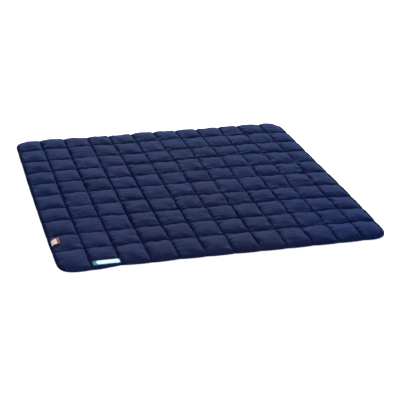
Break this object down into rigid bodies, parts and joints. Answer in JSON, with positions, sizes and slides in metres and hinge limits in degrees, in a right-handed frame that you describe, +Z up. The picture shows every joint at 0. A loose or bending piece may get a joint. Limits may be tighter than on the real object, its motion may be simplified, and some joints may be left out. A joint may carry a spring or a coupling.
{
  "type": "quilted dog blanket",
  "caption": "Flat padded blanket for a pet, stitched through in a square grid of soft pockets, with rounded corners, a thin topstitched edge and two woven labels.",
  "frame": {"origin": "On the floor, under the middle of the blanket's overall size", "axes": "+X from side to side, towards the right when the labels are at the front left; +Y from the front edge to the back edge; +Z up through the padding"},
  "size_m": [0.907, 0.8313, 0.0172],
  "materials": {
    "quilt_cloth": "navy tightly woven microfibre, matt with a faint sheen",
    "front_label_weave": "woven satin label, teal with a pale panel",
    "side_label_weave": "woven satin label, orange red with a pale panel"
  },
  "bodies": {
    "root": {"quilt": "quilt_cloth", "front_label": "front_label_weave", "side_label": "side_label_weave"}
  },
  "joints": []
}
